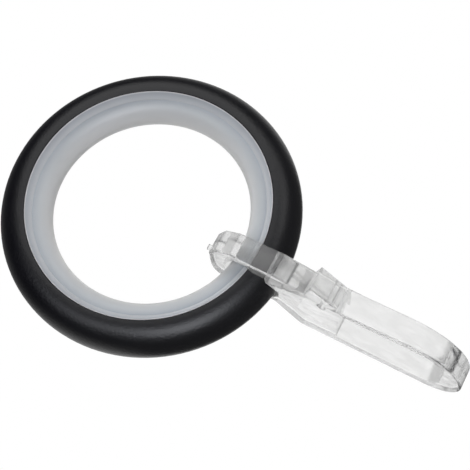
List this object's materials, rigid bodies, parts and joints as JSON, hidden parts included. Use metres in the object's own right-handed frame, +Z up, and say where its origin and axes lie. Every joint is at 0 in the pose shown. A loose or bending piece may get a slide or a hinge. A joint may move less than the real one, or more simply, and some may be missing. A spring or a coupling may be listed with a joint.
{
  "type": "curtain ring with hook",
  "caption": "Round curtain ring with a smooth glide liner and a clear clip-on hook that hangs below it to carry a curtain.",
  "frame": {"origin": "centre of the ring, on the axis that the rod runs along", "axes": "+Z up as the ring hangs on its rod, Y along the rod, -Y towards the hook's springy front leg"},
  "size_m": [0.045, 0.0179, 0.0738],
  "materials": {
    "black_metal": "satin black coating",
    "milky_nylon": "translucent milky white",
    "clear_plastic": "clear moulded plastic"
  },
  "bodies": {
    "ring": {"outer_ring": "black_metal", "glide_liner": "milky_nylon"},
    "hook": {"clip_hook": "clear_plastic"}
  },
  "joints": [
    {"name": "hook_travel", "type": "hinge", "parent": "ring", "child": "hook", "pos_m": [0, 0, 0], "axis": [0, 1, 0], "continuous": true}
  ]
}
